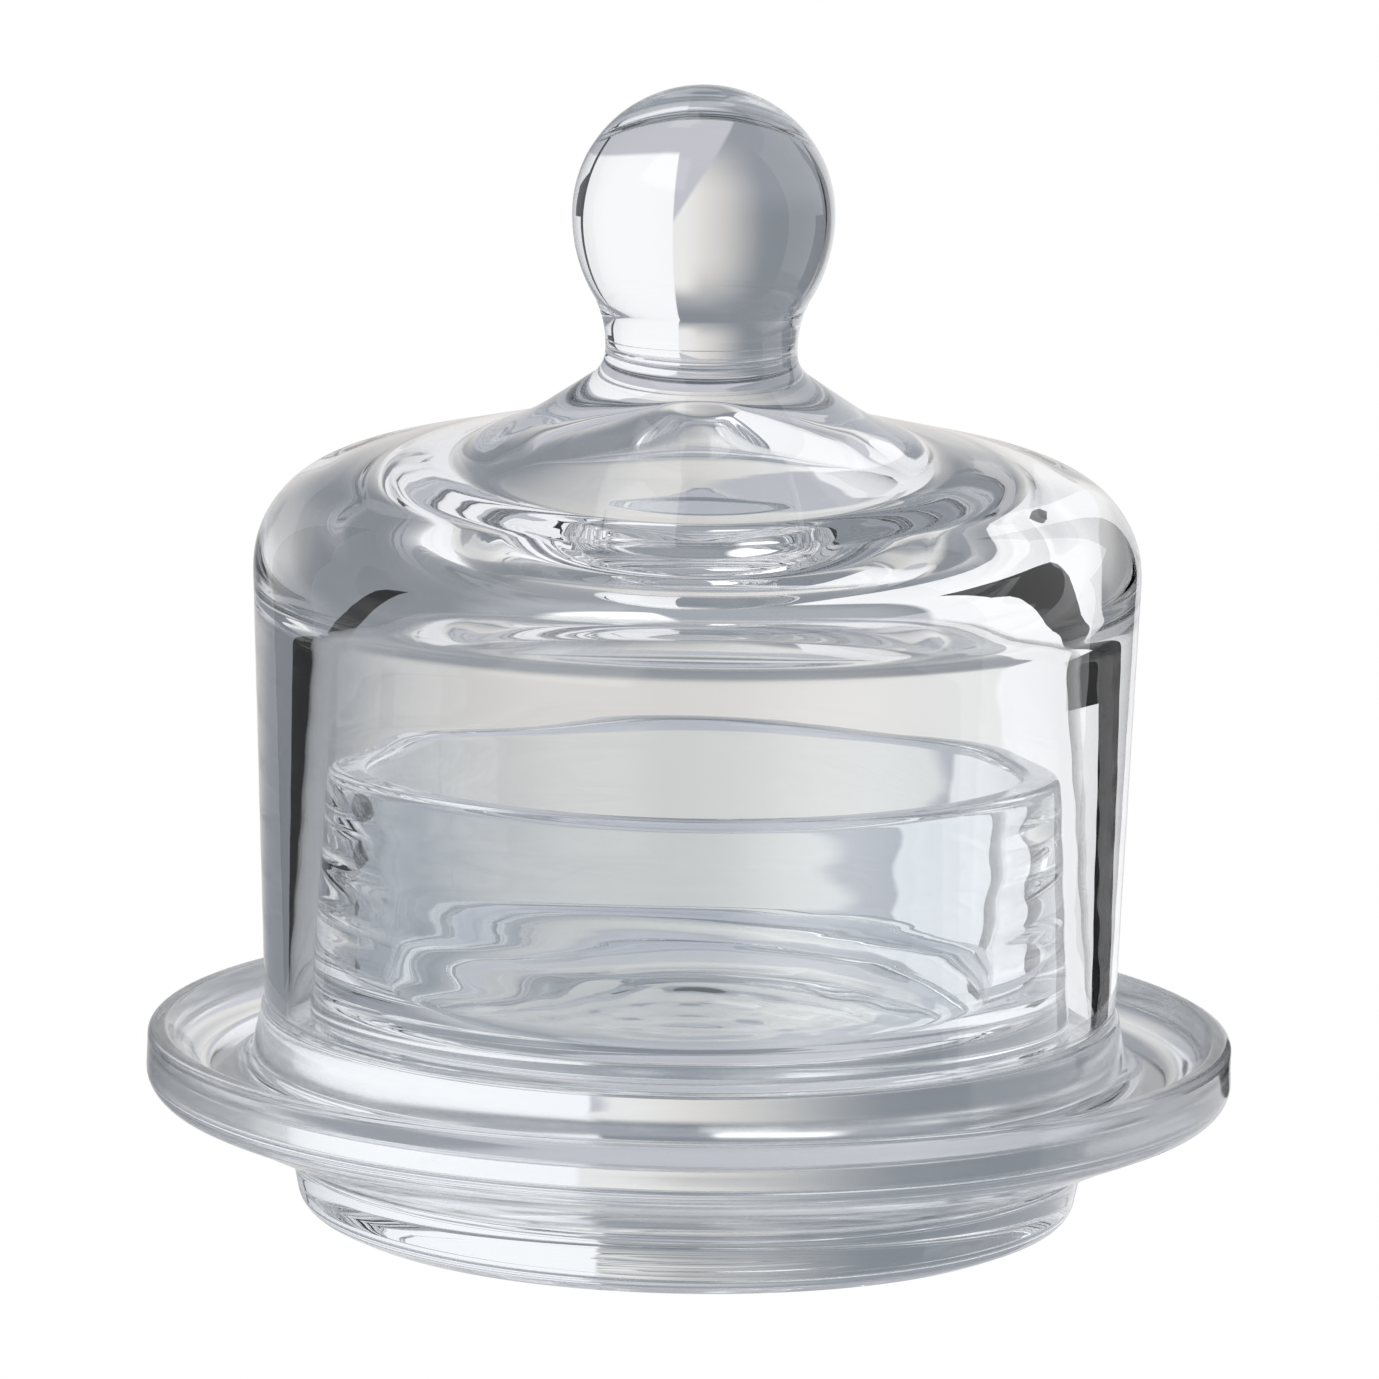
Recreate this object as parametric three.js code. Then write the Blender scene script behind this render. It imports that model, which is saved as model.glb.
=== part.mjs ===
// A small footed glass dish with a domed lid, for butter or jam. Millimetres, +Z up.
// The origin is the middle of the foot's underside. Every piece is turned glass, so each one is an
// outline in the half plane (radius, height), revolved about the Z axis.
//
// The base is a foot, a plate and a cup, fused while hot. The lid is a dome and a knob, fused too.
// The lid stands loose on the plate's seat, round the cup, and lifts straight off.
import * as THREE from "three";

// Driving dimensions. Heights are measured from the table, except where a comment says otherwise.
const PLATE_RADIUS = 52.2; // half of the overall width
const KNOB_TOP = 110.5; // overall height
const JOINT_HEIGHT = 6.6; // the foot meets the plate
const SEAT_HEIGHT = 20.8; // the flat that the lid and the cup stand on
const NECK_HEIGHT = 85; // the knob meets the dome
const NECK_RADIUS = 9.2;

const FOOT = {
  restRadius: 33.8, // outer edge of the flat ring that touches the table
  restWidth: 4.3,
  sideRadius: 37.1, // the foot's side starts here, and spreads a little towards the joint
  sideHeight: 1.3,
  jointRadius: 38.3,
  hollowDepth: 1.5, // the underside is hollowed, so that the foot stands on its ring
};

const PLATE = {
  undersideRadius: 46.5, // where the underside turns up into the lip
  undersideHeight: 10.3,
  lipFoot: 12.6, // where the underside meets the lip's upright outside
  lipTop: 18.5,
  lipWidth: 1.9,
  dishRadius: 47, // the lowest ring of the upper face, just inside the lip
  dishHeight: 15,
  seatRadius: 41.2,
  seatFlare: 1.2, // the seat's flank spreads by this much on its way down to the dish
};

const CUP = {
  footRadius: 36.1,
  rimRadius: 34.8,
  rimHeight: 46.4,
  rimRounding: 1.2,
  boreAtRim: 30.9,
  boreAtFloor: 29,
  floorThickness: 0.8, // above the seat
};

const DOME = {
  rimRadius: 40.9,
  boreAtRim: 38.2,
  shoulderRadius: 42.9,
  shoulderHeight: 70.9,
  boreAtTop: 35.9,
  ceilingHeight: 66.4, // where the ceiling meets the bore
  crownRadius: 18, // the shallow crown turns up into the cone below the neck
  crownHeight: 77.2,
  coneTop: 83.2, // the cone turns upright into the neck
  hollowRadius: 21.3, // the ceiling dips a little to here, then follows the cone up into a hollow
  hollowFoot: 65.8,
  hollowTopRadius: 2.5,
  hollowTop: 75,
};

const KNOB = {
  stemTurn: 87.55, // the stem starts to spread towards the ball
  ballFoot: 89.9,
  widestHeight: 98.2,
  radius: 12.6,
  depthBelow: 14.3, // the ball is an egg: a longer half ellipse below its widest level
};

const SEGMENTS = 48; // facets round the axis
const ARC_STEP = Math.PI / 7; // a chord of a rounded corner turns by at most this
const BALL_STEPS = 7; // chords in each half of the ball

// One corner of an outline: where two straight runs would meet, and the radius that rounds it.
const corner = (radius, height, rounding = 0) => ({
  at: new THREE.Vector2(radius, height),
  rounding,
});

// The tangent arc that rounds the middle one of three corners.
function roundedCorner(before, { at, rounding }, after) {
  const back = before.at.clone().sub(at).normalize();
  const ahead = after.at.clone().sub(at).normalize();
  const halfAngle = Math.acos(THREE.MathUtils.clamp(back.dot(ahead), -1, 1)) / 2;
  const inward = back.clone().add(ahead).normalize();
  const centre = at.clone().addScaledVector(inward, rounding / Math.sin(halfAngle));
  const reach = rounding / Math.tan(halfAngle);
  const start = at.clone().addScaledVector(back, reach).sub(centre).angle();
  const end = at.clone().addScaledVector(ahead, reach).sub(centre).angle();
  const turn = THREE.MathUtils.euclideanModulo(end - start + Math.PI, 2 * Math.PI) - Math.PI;
  const chords = Math.max(2, Math.ceil(Math.abs(turn) / ARC_STEP));
  return Array.from({ length: chords + 1 }, (_, step) => {
    const angle = start + (turn * step) / chords;
    const spoke = new THREE.Vector2(Math.cos(angle), Math.sin(angle));
    return centre.clone().addScaledVector(spoke, rounding);
  });
}

// All the points of an outline, given its corners.
function outline(corners) {
  return corners.flatMap((point, i) =>
    point.rounding ? roundedCorner(corners[i - 1], point, corners[i + 1]) : [point.at],
  );
}

// A named glass piece, turned about the Z axis. Its outline starts on the axis under the piece,
// goes out and up its outside, and comes back to the axis over its top or through its hollow.
function turned(name, points, tint) {
  const geometry = new THREE.LatheGeometry(points, SEGMENTS);
  geometry.rotateX(Math.PI / 2);
  const glass = new THREE.MeshStandardMaterial({
    color: tint,
    roughness: 0.03,
    metalness: 0,
    transparent: true,
    opacity: 0.35,
  });
  const mesh = new THREE.Mesh(geometry, glass);
  mesh.name = name;
  return mesh;
}

// The low round foot: a flat ring to stand on, a full rounded side, and a hollowed underside.
function baseFoot() {
  const ringInside = FOOT.restRadius - FOOT.restWidth;
  const corners = [
    corner(0, FOOT.hollowDepth),
    corner(ringInside - FOOT.hollowDepth, FOOT.hollowDepth),
    corner(ringInside, 0),
    corner(FOOT.restRadius, 0, 0.7),
    corner(FOOT.sideRadius, FOOT.sideHeight, 2.9),
    corner(FOOT.jointRadius, JOINT_HEIGHT),
    corner(0, JOINT_HEIGHT),
  ];
  return turned("base_foot", outline(corners), 0xdfe8ea);
}

// The saucer-like plate: a thick upturned lip, a dished ring, and a raised seat in the middle.
function basePlate() {
  const corners = [
    corner(0, JOINT_HEIGHT),
    corner(FOOT.jointRadius, JOINT_HEIGHT),
    corner(PLATE.undersideRadius, PLATE.undersideHeight, 6),
    corner(PLATE_RADIUS, PLATE.lipFoot, 2.8),
    corner(PLATE_RADIUS, PLATE.lipTop, 1),
    corner(PLATE_RADIUS - PLATE.lipWidth, PLATE.lipTop, 0.8),
    corner(PLATE.dishRadius, PLATE.dishHeight, 3),
    corner(PLATE.seatRadius + PLATE.seatFlare, PLATE.dishHeight, 2),
    corner(PLATE.seatRadius, SEAT_HEIGHT, 0.5),
    corner(0, SEAT_HEIGHT),
  ];
  return turned("base_plate", outline(corners), 0xdfe8ea);
}

// The cup that holds the butter: thick walls that draw in towards a thin rounded rim.
function baseCup() {
  const floor = SEAT_HEIGHT + CUP.floorThickness;
  const corners = [
    corner(0, SEAT_HEIGHT),
    corner(CUP.footRadius, SEAT_HEIGHT),
    corner(CUP.rimRadius, CUP.rimHeight, CUP.rimRounding),
    corner(CUP.boreAtRim, CUP.rimHeight, CUP.rimRounding),
    corner(CUP.boreAtFloor, floor, 4.5),
    corner(0, floor),
  ];
  return turned("base_cup", outline(corners), 0xe4ecee);
}

// The lid's dome: a nearly upright wall, a full shoulder, and a crown that sweeps up to the neck.
// Inside, the bore draws in as it rises, and the ceiling has a blunt hollow under the knob.
function lidDome() {
  const corners = [
    corner(0, DOME.hollowTop),
    corner(DOME.hollowTopRadius, DOME.hollowTop, 3.3),
    corner(DOME.hollowRadius, DOME.hollowFoot, 10.5),
    corner(DOME.boreAtTop, DOME.ceilingHeight, 8.3),
    corner(DOME.boreAtRim, SEAT_HEIGHT, 0.6),
    corner(DOME.rimRadius, SEAT_HEIGHT, 1),
    corner(DOME.shoulderRadius, DOME.shoulderHeight, 9.5),
    corner(DOME.crownRadius, DOME.crownHeight, 19),
    corner(NECK_RADIUS, DOME.coneTop, 3.2),
    corner(NECK_RADIUS, NECK_HEIGHT),
    corner(0, NECK_HEIGHT),
  ];
  return turned("lid_dome", outline(corners), 0xe8eeef);
}

// The solid knob: a stem that spreads smoothly into an egg-shaped ball.
function lidKnob() {
  const { stemTurn, ballFoot, widestHeight, radius, depthBelow } = KNOB;
  const onBall = (depth, angle) =>
    new THREE.Vector2(radius * Math.cos(angle), widestHeight + depth * Math.sin(angle));
  const halfBall = (depth, from, to) =>
    Array.from({ length: BALL_STEPS - 1 }, (_, step) =>
      onBall(depth, THREE.MathUtils.lerp(from, to, (step + 1) / BALL_STEPS)),
    );
  const footAngle = Math.asin((ballFoot - widestHeight) / depthBelow);
  const foot = onBall(depthBelow, footAngle);
  const stem = [
    corner(0, NECK_HEIGHT),
    corner(NECK_RADIUS, NECK_HEIGHT),
    corner(NECK_RADIUS, stemTurn, 10.5),
    corner(foot.x, foot.y),
  ];
  const points = [
    ...outline(stem),
    ...halfBall(depthBelow, footAngle, 0),
    new THREE.Vector2(radius, widestHeight),
    ...halfBall(KNOB_TOP - widestHeight, 0, Math.PI / 2),
    new THREE.Vector2(0, KNOB_TOP),
  ];
  return turned("lid_knob", points, 0xe8eeef);
}

const base = new THREE.Group();
base.add(baseFoot(), basePlate(), baseCup());

const lid = new THREE.Group();
lid.add(lidDome(), lidKnob());

const coveredDish = new THREE.Group();
coveredDish.add(base, lid);
export default coveredDish;
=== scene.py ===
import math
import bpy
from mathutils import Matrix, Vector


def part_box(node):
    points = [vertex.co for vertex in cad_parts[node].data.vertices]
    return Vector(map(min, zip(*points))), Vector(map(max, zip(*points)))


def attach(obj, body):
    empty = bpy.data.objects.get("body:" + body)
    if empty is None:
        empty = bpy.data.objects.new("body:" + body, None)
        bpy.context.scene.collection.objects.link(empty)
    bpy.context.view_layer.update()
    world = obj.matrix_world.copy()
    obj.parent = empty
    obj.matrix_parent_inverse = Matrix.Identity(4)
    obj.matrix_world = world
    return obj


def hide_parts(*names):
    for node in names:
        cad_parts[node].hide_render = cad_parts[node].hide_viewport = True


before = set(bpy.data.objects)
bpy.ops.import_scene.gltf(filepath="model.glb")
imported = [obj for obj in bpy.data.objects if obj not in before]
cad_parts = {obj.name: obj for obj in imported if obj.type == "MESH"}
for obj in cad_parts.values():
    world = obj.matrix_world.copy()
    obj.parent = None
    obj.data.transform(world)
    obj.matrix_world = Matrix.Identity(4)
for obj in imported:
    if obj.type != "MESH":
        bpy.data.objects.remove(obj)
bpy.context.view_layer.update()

# A clear pressed-glass covered dish, on a pale table in a soft studio. Each CAD node is stood for by a
# finer turned piece of the same outline, so that the glass bends light smoothly. Outlines and cards are
# written in millimetres, with heights from the table, and turned into Blender's metres. +Z is up.
from types import SimpleNamespace as Dimensions

import bpy
from mathutils import Vector

MM = 0.001


def top_mm(node):
    """The height of a CAD node's top, in millimetres."""
    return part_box(node)[1].z / MM


def reach_mm(node):
    """A CAD node's largest radius, in millimetres."""
    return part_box(node)[1].x / MM


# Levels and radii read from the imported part, in millimetres.
JOINT = top_mm("base_foot")  # the foot meets the plate
SEAT = top_mm("base_plate")  # the flat that the lid and the cup stand on
CUP_RIM = top_mm("base_cup")
NECK = top_mm("lid_dome")  # the knob meets the dome
TOP = top_mm("lid_knob")
PLATE_RADIUS = reach_mm("base_plate")
CUP_FOOT_RADIUS = reach_mm("base_cup")
KNOB_RADIUS = reach_mm("lid_knob")

# Dimensions inside those, in millimetres, the same as the CAD's.
NECK_RADIUS = 9.2

FOOT = Dimensions(
    rest_radius=33.8,  # outer edge of the flat ring that touches the table
    rest_width=4.3,
    side_radius=37.1,  # the foot's side starts here, and spreads a little towards the joint
    side_height=1.3,
    joint_radius=38.3,
    hollow_depth=1.5,
)

PLATE = Dimensions(
    underside_radius=46.5,  # where the underside turns up into the lip
    underside_height=10.3,
    lip_foot=12.6,  # where the underside meets the lip's upright outside
    lip_top=18.5,
    lip_width=1.9,
    dish_radius=47,  # the lowest ring of the upper face, just inside the lip
    dish_height=15,
    seat_radius=41.2,
    seat_flare=1.2,  # the seat's flank spreads by this much on its way down to the dish
)

CUP = Dimensions(
    rim_radius=34.8,
    rim_rounding=1.2,
    bore_at_rim=30.9,
    bore_at_floor=29,
    floor_thickness=0.8,  # above the seat
)

DOME = Dimensions(
    rim_radius=40.9,
    bore_at_rim=38.2,
    shoulder_radius=42.9,
    shoulder_height=70.9,
    bore_at_top=35.9,
    ceiling_height=66.4,  # where the ceiling meets the bore
    crown_radius=18,  # the shallow crown turns up into the cone below the neck
    crown_height=77.2,
    cone_top=83.2,  # the cone turns upright into the neck
    hollow_radius=21.3,  # the ceiling dips a little to here, then follows the cone up into a hollow
    hollow_foot=65.8,
    hollow_top_radius=2.5,
    hollow_top=75,
)

KNOB = Dimensions(
    stem_turn=87.55,  # the stem starts to spread towards the ball
    ball_foot=89.9,
    widest_height=98.2,
    depth_below=14.3,  # the ball is an egg: a longer half ellipse below its widest level
)

SEGMENTS = 256  # facets round the axis
ARC_STEP = math.radians(5)  # a chord of a rounded corner turns by at most this
BALL_STEPS = 28  # chords in each half of the ball
LONGEST_RUN = 1.0  # longer straight runs are cut up, so that they can stray
SLACK = 0.0001  # two levels or radii closer than this are the same

# Pressed glass strays from its true outline in waves. Their lengths along the outline, in millimetres.
RING_WAVE = 5.3
SLOW_WAVE = 17
STEADY_HEIGHT = 0.8  # the waves fade out within this distance of a joint, the seat or the table
STEADY_RADIUS = 6  # and within this radius of the axis

GLASS_IOR = 1.52
BASE_TINT = (0.965, 0.988, 1.0)
LID_TINT = (0.985, 0.992, 0.994)
RIPPLE_SCALE = 160  # how fine the ripple in the surface is, in swells per metre
RIPPLE_SQUEEZE = 0.12  # how much less often it swells round the axis than across it

# The camera looks from well away and a little above the dish. It's rolled, because the dish leans.
# Its distance and aim are in metres, and its lens and sensor in millimetres.
VIEW_ELEVATION = math.radians(11.27)
VIEW_DISTANCE = 2.358
AIM_HEIGHT = 0.0518
LENS = 641.9
SENSOR = 36
CAMERA_SHIFT = -0.0043
CAMERA_ROLL = math.radians(1.0)

BOUNCES = 64  # light is followed through the glass for this many turns


# ---------------------------------------------------------------- outlines


def rounded(before, corner, after):
    """The points of the arc that rounds one corner. Corners are (radius, height, rounding)."""
    at = Vector(corner[:2])
    back = (Vector(before[:2]) - at).normalized()
    ahead = (Vector(after[:2]) - at).normalized()
    rounding = corner[2]
    half = math.acos(max(-1.0, min(1.0, back.dot(ahead)))) / 2
    centre = at + (back + ahead).normalized() * (rounding / math.sin(half))
    reach = rounding / math.tan(half)
    first = at + back * reach - centre
    last = at + ahead * reach - centre
    start = math.atan2(first.y, first.x)
    turn = (math.atan2(last.y, last.x) - start + math.pi) % (2 * math.pi) - math.pi
    chords = max(3, math.ceil(abs(turn) / ARC_STEP))
    angles = [start + turn * step / chords for step in range(chords + 1)]
    return [centre + Vector((math.cos(a), math.sin(a))) * rounding for a in angles]


def outline(corners):
    """All the points of an outline, its corners rounded and its long straight runs cut up."""
    points = []
    for i, corner in enumerate(corners):
        sharp = len(corner) < 3
        arc = [Vector(corner)] if sharp else rounded(corners[i - 1], corner, corners[i + 1])
        for point in arc:
            if points:
                start = points[-1]
                cuts = max(1, math.ceil((point - start).length / LONGEST_RUN))
                points += [start.lerp(point, cut / cuts) for cut in range(1, cuts)]
            points.append(point)
    return points


def foot_outline():
    """The foot: a flat resting ring, a full rounded side and a shallow hollow underneath."""
    ring_inside = FOOT.rest_radius - FOOT.rest_width
    return outline([
        (0, FOOT.hollow_depth),
        (ring_inside - FOOT.hollow_depth, FOOT.hollow_depth, 1.2),
        (ring_inside, 0, 0.5),
        (FOOT.rest_radius, 0, 0.7),
        (FOOT.side_radius, FOOT.side_height, 2.9),
        (FOOT.joint_radius, JOINT),
        (0, JOINT),
    ])


def plate_outline():
    """The plate: a thick upturned lip, a dished ring and a raised seat in the middle."""
    return outline([
        (0, JOINT),
        (FOOT.joint_radius, JOINT),
        (PLATE.underside_radius, PLATE.underside_height, 6),
        (PLATE_RADIUS, PLATE.lip_foot, 2.8),
        (PLATE_RADIUS, PLATE.lip_top, 1),
        (PLATE_RADIUS - PLATE.lip_width, PLATE.lip_top, 0.8),
        (PLATE.dish_radius, PLATE.dish_height, 3),
        (PLATE.seat_radius + PLATE.seat_flare, PLATE.dish_height, 2),
        (PLATE.seat_radius, SEAT, 0.5),
        (CUP_FOOT_RADIUS, SEAT),
        (0, SEAT),
    ])


def cup_outline():
    """The cup: thick walls that draw in towards a thin rounded rim."""
    floor = SEAT + CUP.floor_thickness
    return outline([
        (0, SEAT),
        (CUP_FOOT_RADIUS, SEAT),
        (CUP.rim_radius, CUP_RIM, CUP.rim_rounding),
        (CUP.bore_at_rim, CUP_RIM, CUP.rim_rounding),
        (CUP.bore_at_floor, floor, 4.5),
        (0, floor),
    ])


def dome_outline():
    """The lid's dome: its bore and blunt hollow first, then its rim, wall, shoulder and crown."""
    return outline([
        (0, DOME.hollow_top),
        (DOME.hollow_top_radius, DOME.hollow_top, 3.3),
        (DOME.hollow_radius, DOME.hollow_foot, 10.5),
        (DOME.bore_at_top, DOME.ceiling_height, 8.3),
        (DOME.bore_at_rim, SEAT, 0.6),
        (DOME.rim_radius, SEAT, 1),
        (DOME.shoulder_radius, DOME.shoulder_height, 9.5),
        (DOME.crown_radius, DOME.crown_height, 19),
        (NECK_RADIUS, DOME.cone_top, 3.2),
        (NECK_RADIUS, NECK),
        (0, NECK),
    ])


def knob_outline():
    """The solid knob: a waisted stem and an egg-shaped ball."""
    start_angle = math.asin((KNOB.ball_foot - KNOB.widest_height) / KNOB.depth_below)
    ball_foot = (KNOB_RADIUS * math.cos(start_angle), KNOB.ball_foot)
    stem = outline([(0, NECK), (NECK_RADIUS, NECK), (NECK_RADIUS, KNOB.stem_turn, 10.5), ball_foot])
    points = stem[:-1]  # the ball starts with that last point
    halves = [
        # (half height, first angle, last angle)
        (KNOB.depth_below, start_angle, 0),
        (TOP - KNOB.widest_height, 0, math.pi / 2),
    ]
    for depth, start, end in halves:
        for step in range(BALL_STEPS):
            angle = start + (end - start) * step / BALL_STEPS
            height = KNOB.widest_height + depth * math.sin(angle)
            points.append(Vector((KNOB_RADIUS * math.cos(angle), height)))
    return points + [Vector((0, TOP))]


# ---------------------------------------------------------------- materials


class Nodes:
    """Short calls that add shader nodes and link them."""

    def __init__(self, tree):
        self.tree = tree

    def add(self, kind, **settings):
        node = self.tree.nodes.new(kind)
        for key, value in settings.items():
            setattr(node, key, value)
        return node

    def feed(self, socket, value):
        if isinstance(value, bpy.types.NodeSocket):
            self.tree.links.new(value, socket)
        else:
            socket.default_value = value

    def math(self, operation, *values):
        node = self.add("ShaderNodeMath", operation=operation)
        for socket, value in zip(node.inputs, values):
            self.feed(socket, value)
        return node.outputs[0]

    def ramp(self, value, start, end):
        """0 before start, 1 after end, and smooth between them."""
        node = self.add("ShaderNodeMapRange", interpolation_type="SMOOTHSTEP")
        self.feed(node.inputs["Value"], value)
        node.inputs["From Min"].default_value = start
        node.inputs["From Max"].default_value = end
        return node.outputs["Result"]

    def between(self, value, low, high, soft):
        """1 between low and high, and 0 outside them."""
        rise = self.ramp(value, low - soft, low + soft)
        fall = self.ramp(value, high + soft, high - soft)
        return self.math("MULTIPLY", rise, fall)

    def right_of(self, x, y, start, end, soft):
        """1 to the right of the line from start to end, 0 to its left."""
        (x0, y0), (x1, y1) = start, end
        length = math.hypot(x1 - x0, y1 - y0)
        across = self.math("MULTIPLY", self.math("SUBTRACT", x, x0), (y1 - y0) / length)
        along = self.math("MULTIPLY", self.math("SUBTRACT", y, y0), (x1 - x0) / length)
        return self.ramp(self.math("SUBTRACT", across, along), -soft, soft)

    def mix(self, share, first, second):
        node = self.add("ShaderNodeMix", data_type="RGBA")
        self.feed(node.inputs["Factor"], share)
        self.feed(node.inputs[6], first)
        self.feed(node.inputs[7], second)
        return node.outputs[2]

    def coordinates(self, kind):
        """The x, y and z of one kind of texture coordinate."""
        split = self.add("ShaderNodeSeparateXYZ")
        self.feed(split.inputs[0], self.add("ShaderNodeTexCoord").outputs[kind])
        return split.outputs


def ripple_height(nodes):
    """A noise that runs mostly in rings: it is long round the axis and short across it."""
    x, y, z = nodes.coordinates("Object")
    squares = nodes.math("ADD", nodes.math("MULTIPLY", x, x), nodes.math("MULTIPLY", y, y))
    place = nodes.add("ShaderNodeCombineXYZ")
    nodes.feed(place.inputs[0], nodes.math("MULTIPLY", x, RIPPLE_SQUEEZE))
    nodes.feed(place.inputs[1], nodes.math("MULTIPLY", y, RIPPLE_SQUEEZE))
    nodes.feed(place.inputs[2], nodes.math("ADD", z, nodes.math("SQRT", squares)))
    noise = nodes.add("ShaderNodeTexNoise")
    nodes.feed(noise.inputs["Vector"], place.outputs[0])
    noise.inputs["Scale"].default_value = RIPPLE_SCALE
    noise.inputs["Detail"].default_value = 1
    return noise.outputs[0]


def glass_material(name, tint, ripple, roughness):
    """Clear pressed glass, with the ripple that the mould leaves in the surface, in millimetres."""
    material = bpy.data.materials.new(name)
    material.use_nodes = True
    shader = material.node_tree.nodes["Principled BSDF"]
    shader.inputs["Base Color"].default_value = (*tint, 1)
    shader.inputs["Transmission Weight"].default_value = 1
    shader.inputs["IOR"].default_value = GLASS_IOR
    shader.inputs["Roughness"].default_value = roughness
    nodes = Nodes(material.node_tree)
    bump = nodes.add("ShaderNodeBump")
    bump.inputs["Distance"].default_value = ripple * MM
    nodes.feed(bump.inputs["Height"], ripple_height(nodes))
    nodes.feed(shader.inputs["Normal"], bump.outputs["Normal"])
    return material


def clear_material(name):
    """Nothing to see: where two pieces are fused, light goes straight from one to the other."""
    material = bpy.data.materials.new(name)
    material.use_nodes = True
    shader = material.node_tree.nodes["Principled BSDF"]
    shader.inputs["Alpha"].default_value = 0
    return material


CLEAR = clear_material("fused_joint")
BASE_GLASS = glass_material("base_glass", BASE_TINT, 0.12, 0.005)
PLATE_GLASS = glass_material("plate_glass", BASE_TINT, 0.04, 0.09)
LID_GLASS = glass_material("lid_glass", LID_TINT, 0.03, 0.0)


# ---------------------------------------------------------------- the glass pieces


def swell(angle, along):
    """How far pressed glass strays from its true outline, from -1 to 1. It's long round the axis and
    shorter along the outline."""
    wander = 0.9 * math.sin(angle + 1) + 0.4 * math.sin(3 * angle)
    rings = math.sin(2 * math.pi * along / RING_WAVE + wander)
    slow = math.sin(2 * math.pi * along / SLOW_WAVE + 2 * angle + 2)
    flutes = math.sin(5 * angle + along / 9) + math.sin(3 * angle - along / 14 + 1)
    return 0.4 * rings + 0.3 * slow + 0.15 * flutes


def steadiness(point):
    """1 where the outline may stray, and 0 on the axis and at the faces where pieces meet or rest."""
    nearest_level = min(abs(point.y - level) for level in (0, JOINT, SEAT, NECK))
    return min(1.0, nearest_level / STEADY_HEIGHT, point.x / STEADY_RADIUS)


def turned_rings(points, stray):
    """The vertices of a turned piece, a ring for each point of its outline and one vertex for a point
    on the axis. They are drawn in from the true outline by up to twice stray, in millimetres."""
    rings = []
    along = 0.0
    for k, point in enumerate(points):
        before = points[max(k - 1, 0)]
        tangent = points[min(k + 1, len(points) - 1)] - before
        outward = Vector((tangent.y, -tangent.x)).normalized()
        along += (point - before).length
        reach = stray * steadiness(point)
        ring = []
        for i in range(SEGMENTS if point.x > SLACK else 1):
            angle = 2 * math.pi * i / SEGMENTS
            spot = point + outward * reach * (swell(angle, along) - 1)
            ring.append((spot.x * math.cos(angle) * MM, spot.x * math.sin(angle) * MM, spot.y * MM))
        rings.append(ring)
    return rings


def faces_between(low, high):
    """The faces between two rings of vertex numbers, either of which may be one vertex on the axis."""
    faces = []
    for i in range(SEGMENTS):
        j = (i + 1) % SEGMENTS
        if len(low) == 1:
            faces.append((low[0], high[j], high[i]))
        elif len(high) == 1:
            faces.append((low[i], low[j], high[0]))
        else:
            faces.append((low[i], low[j], high[j], high[i]))
    return faces


def is_fused(start, end, joints):
    """Whether the run from start to end is part of one of the flat joints, each (height, radius)."""
    flat = abs(start.y - end.y) < SLACK
    outer = max(start.x, end.x)
    return flat and any(abs(start.y - height) < SLACK and outer < radius + SLACK
                        for height, radius in joints)


def turned(name, points, glass, joints, stray):
    """A mesh turned about the Z axis, see-through at its joints."""
    rings = turned_rings(points, stray)
    vertices = [vertex for ring in rings for vertex in ring]
    numbers = []
    for ring in rings:
        first = numbers[-1].stop if numbers else 0
        numbers.append(range(first, first + len(ring)))
    faces, slots = [], []
    for k in range(len(points) - 1):
        band = faces_between(numbers[k], numbers[k + 1])
        faces += band
        slots += [int(is_fused(points[k], points[k + 1], joints))] * len(band)
    mesh = bpy.data.meshes.new(name)
    mesh.from_pydata(vertices, [], faces)
    mesh.materials.append(glass)
    mesh.materials.append(CLEAR)
    mesh.polygons.foreach_set("material_index", slots)
    mesh.shade_smooth()
    mesh.update()
    piece = bpy.data.objects.new(name, mesh)
    bpy.context.scene.collection.objects.link(piece)
    return piece


FOOT_TO_PLATE = (JOINT, FOOT.joint_radius)
PLATE_TO_CUP = (SEAT, CUP_FOOT_RADIUS)
DOME_TO_KNOB = (NECK, NECK_RADIUS)

PIECES = [
    # (CAD node, outline, body, glass, fused joints, how far it strays in millimetres)
    ("base_foot", foot_outline(), "base", BASE_GLASS, [FOOT_TO_PLATE], 0.06),
    ("base_plate", plate_outline(), "base", PLATE_GLASS, [FOOT_TO_PLATE, PLATE_TO_CUP], 0.06),
    ("base_cup", cup_outline(), "base", BASE_GLASS, [PLATE_TO_CUP], 0.06),
    ("lid_dome", dome_outline(), "lid", LID_GLASS, [DOME_TO_KNOB], 0.02),
    ("lid_knob", knob_outline(), "lid", LID_GLASS, [DOME_TO_KNOB], 0.01),
]
for node, points, body, glass, joints, stray in PIECES:
    piece = turned("glass_" + node, points, glass, joints, stray)
    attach(piece, body)
    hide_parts(node)


# ---------------------------------------------------------------- the studio


def grey(value):
    return (value, value, value, 1)


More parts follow.
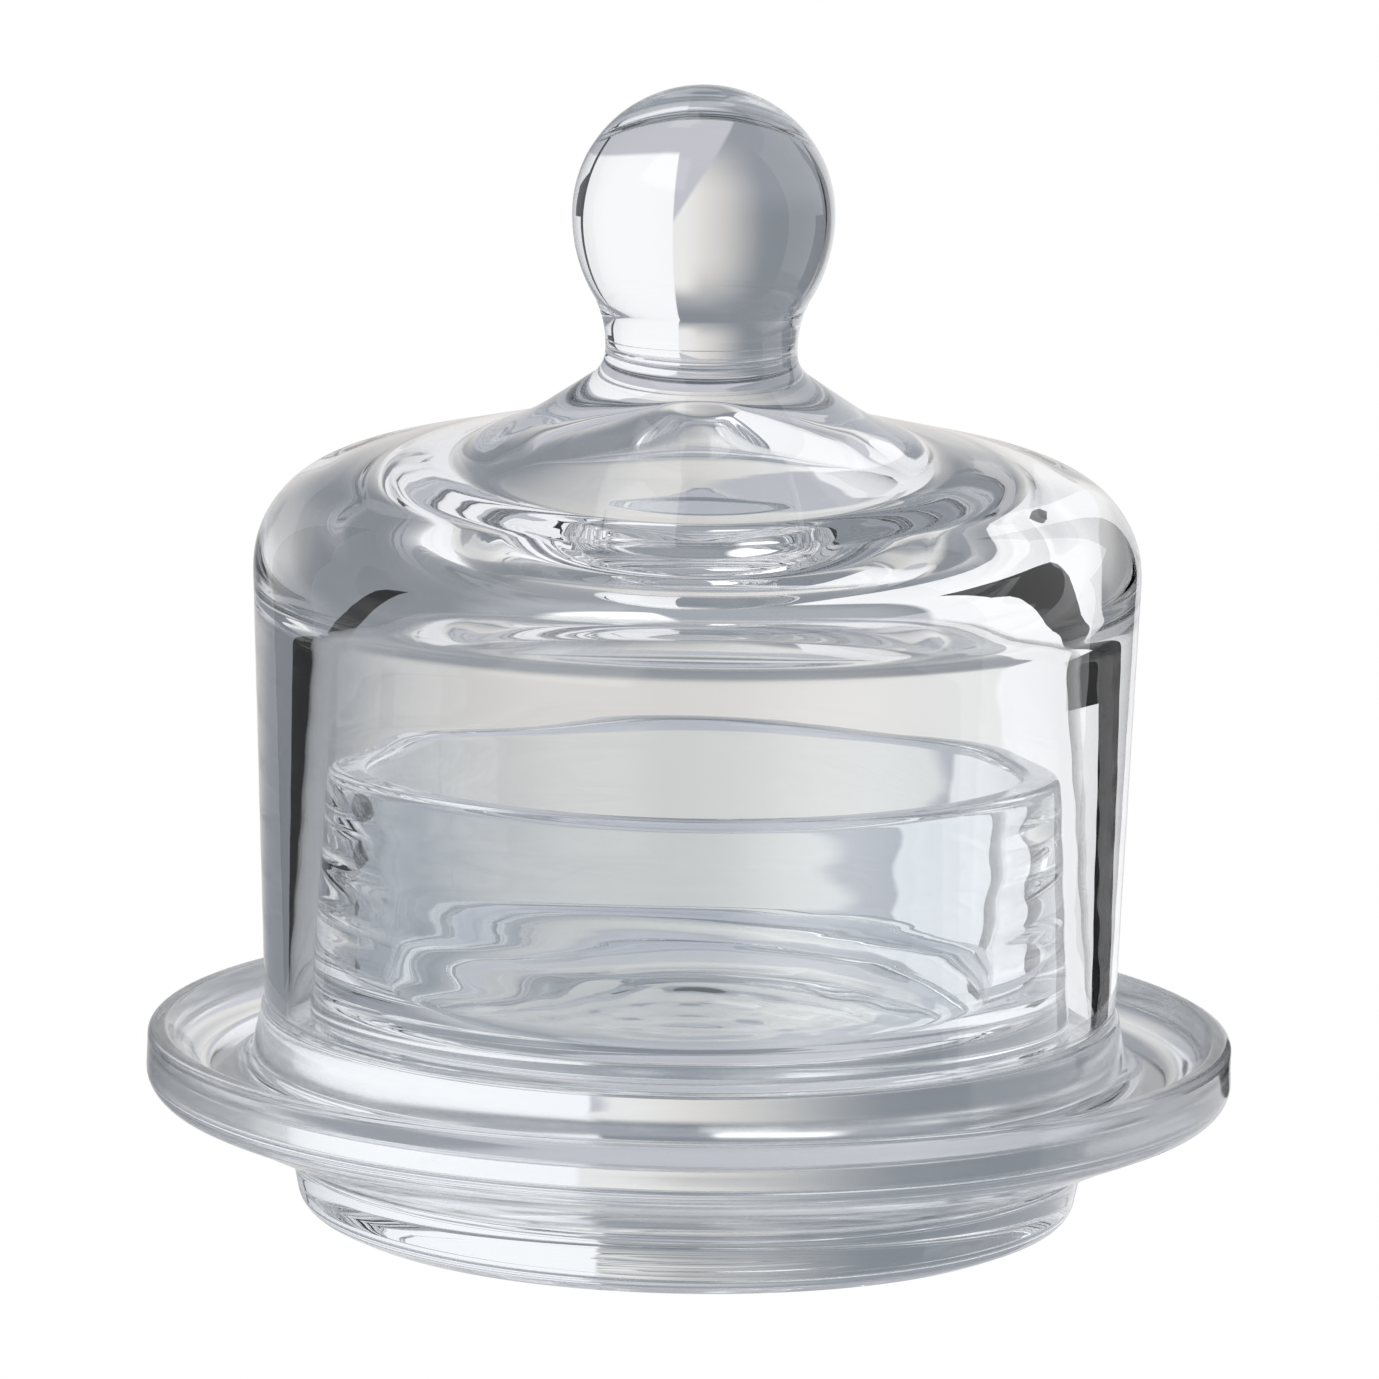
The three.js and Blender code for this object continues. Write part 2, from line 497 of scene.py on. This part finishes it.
# What the glass sees round it, as patches of light: azimuth from straight behind the dish towards the
# right, and elevation, each a range in degrees with a soft edge. The table belongs to it, below 0.
SURROUND = (0.24, 0.26, 0.29, 1)
PATCHES = [
    # (azimuths, elevations, softness, colour), each over the ones before it
    ((-90, 60), (-90, -14), 6, (0.30, 0.32, 0.36, 1)),  # the table behind the dish
    ((-9, 22), (-28, 12), 12, (0.80, 0.77, 0.74, 1)),  # the warm glow behind the dish
    ((3, 22), (-28, 12), 4, (0.88, 0.87, 0.86, 1)),  # its brighter right side
    ((-140, -75), (-60, 45), 14, (0.52, 0.53, 0.55, 1)),  # the room on the left
    ((-200, 200), (52, 95), 6, (0.38, 0.40, 0.44, 1)),  # the ceiling
    ((-60, -10), (64, 78), 2, grey(1.6)),  # a lamp in it
    ((125, 162), (-60, 40), 12, grey(0.8)),  # a pale screen at the right of the camera
    ((-160, -110), (30, 60), 4, grey(1.5)),  # a lamp at the left of the camera
]

# The white wall on the right, and the paler table in front of it, which lies to the right of a line.
WALL_AZIMUTHS = (9.3, 99.5)
WALL_ELEVATIONS = (-30, 50)
WALL_WHITE = (1, 1, 1.02, 1)
PALE_TABLE = (0.57, 0.57, 0.62, 1)
PALE_LINE = ((-13, -43), (11, -6))  # two of its points, as azimuth and elevation

FLOOR_RADIUS = 300
FLOOR_SEGMENTS = 96
FLOOR_LEVEL = -0.2  # just under the foot, so that the two don't share a face

# Upright near-black cards between two (x, y) points. They make the black bands in the lid's wall.
CARDS = [
    # (name, start, end, bottom, top, brightness, whether it shows through the glass too, and not only
    # in the glass's reflections)
    ("flag_left", (-99, 69), (-270, 105), 0, 160, 0.01, True),
    ("flag_right", (62, 52), (95, 64), 0, 150, 0.01, True),
    ("flag_upper", (95, 64), (150, 60), 51, 88, 0.03, True),
    ("flag_low", (95, 64), (150, 60), 0, 51, 0.03, False),
]


def studio_colour(nodes):
    """The studio's colour by direction."""
    x, y, z = nodes.coordinates("Generated")
    azimuth = nodes.math("MULTIPLY", nodes.math("ARCTAN2", x, y), 180 / math.pi)
    elevation = nodes.math("MULTIPLY", nodes.math("ARCSINE", z), 180 / math.pi)
    colour = SURROUND
    for azimuths, elevations, soft, shade in PATCHES:
        across = nodes.between(azimuth, *azimuths, soft)
        upward = nodes.between(elevation, *elevations, soft)
        colour = nodes.mix(nodes.math("MULTIPLY", across, upward), colour, shade)
    pale = nodes.right_of(azimuth, elevation, *PALE_LINE, 0.8)
    pale = nodes.math("MULTIPLY", pale, nodes.ramp(azimuth, WALL_AZIMUTHS[1], WALL_AZIMUTHS[1] - 1))
    colour = nodes.mix(pale, colour, PALE_TABLE)
    across = nodes.between(azimuth, *WALL_AZIMUTHS, 0.3)
    upward = nodes.between(elevation, *WALL_ELEVATIONS, 1)
    return nodes.mix(nodes.math("MULTIPLY", across, upward), colour, WALL_WHITE)


def build_sky():
    """The studio for the glass, and plain white for the camera."""
    world = bpy.data.worlds.new("studio")
    bpy.context.scene.world = world
    world.use_nodes = True
    world.node_tree.nodes.clear()
    nodes = Nodes(world.node_tree)
    seen = nodes.add("ShaderNodeLightPath").outputs["Is Camera Ray"]
    background = nodes.add("ShaderNodeBackground")
    nodes.feed(background.inputs["Color"], nodes.mix(seen, studio_colour(nodes), grey(1.0)))
    output = nodes.add("ShaderNodeOutputWorld")
    nodes.feed(output.inputs["Surface"], background.outputs[0])


def glow_material(name, value):
    """A surface of one even brightness."""
    material = bpy.data.materials.new(name)
    material.use_nodes = True
    material.node_tree.nodes.clear()
    nodes = Nodes(material.node_tree)
    emission = nodes.add("ShaderNodeEmission")
    emission.inputs["Color"].default_value = grey(value)
    output = nodes.add("ShaderNodeOutputMaterial")
    nodes.feed(output.inputs["Surface"], emission.outputs[0])
    return material


def flat_mesh(name, spots, brightness):
    """One flat face of the stage through spots, in millimetres, that glows evenly."""
    vertices = [[distance * MM for distance in spot] for spot in spots]
    mesh = bpy.data.meshes.new(name)
    mesh.from_pydata(vertices, [], [list(range(len(vertices)))])
    mesh.materials.append(glow_material(name, brightness))
    thing = bpy.data.objects.new(name, mesh)
    bpy.context.scene.collection.objects.link(thing)
    return thing


def build_floor():
    """A pale table top for the camera. The glass shows the studio's own pale table instead."""
    angles = [2 * math.pi * i / FLOOR_SEGMENTS for i in range(FLOOR_SEGMENTS)]
    ring = [(FLOOR_RADIUS * math.cos(a), FLOOR_RADIUS * math.sin(a), FLOOR_LEVEL) for a in angles]
    floor = flat_mesh("floor", ring, 1.0)
    floor.visible_glossy = False
    floor.visible_transmission = False


def build_cards():
    """The black cards, which the camera sees only in the glass."""
    for name, (x0, y0), (x1, y1), bottom, top, brightness, seen_through in CARDS:
        spots = [(x0, y0, bottom), (x1, y1, bottom), (x1, y1, top), (x0, y0, top)]
        card = flat_mesh(name, spots, brightness)
        card.visible_camera = False
        card.visible_transmission = seen_through


build_sky()
build_floor()
build_cards()


# ---------------------------------------------------------------- the camera and the render


def build_camera():
    data = bpy.data.cameras.new("camera")
    camera = bpy.data.objects.new("camera", data)
    bpy.context.scene.collection.objects.link(camera)
    bpy.context.scene.camera = camera
    away = Vector((0, -math.cos(VIEW_ELEVATION), math.sin(VIEW_ELEVATION)))
    camera.location = Vector((0, 0, AIM_HEIGHT)) + away * VIEW_DISTANCE
    camera.rotation_euler = (-away).to_track_quat("-Z", "Y").to_euler()
    camera.rotation_euler.rotate_axis("Z", CAMERA_ROLL)
    data.sensor_width = SENSOR
    data.lens = LENS
    data.shift_x = CAMERA_SHIFT


build_camera()

scene = bpy.context.scene
scene.cycles.use_denoising = True
scene.cycles.max_bounces = BOUNCES
scene.cycles.transmission_bounces = BOUNCES
scene.cycles.glossy_bounces = BOUNCES
scene.cycles.transparent_max_bounces = BOUNCES
scene.cycles.sample_clamp_indirect = 10
scene.view_settings.view_transform = "Standard"
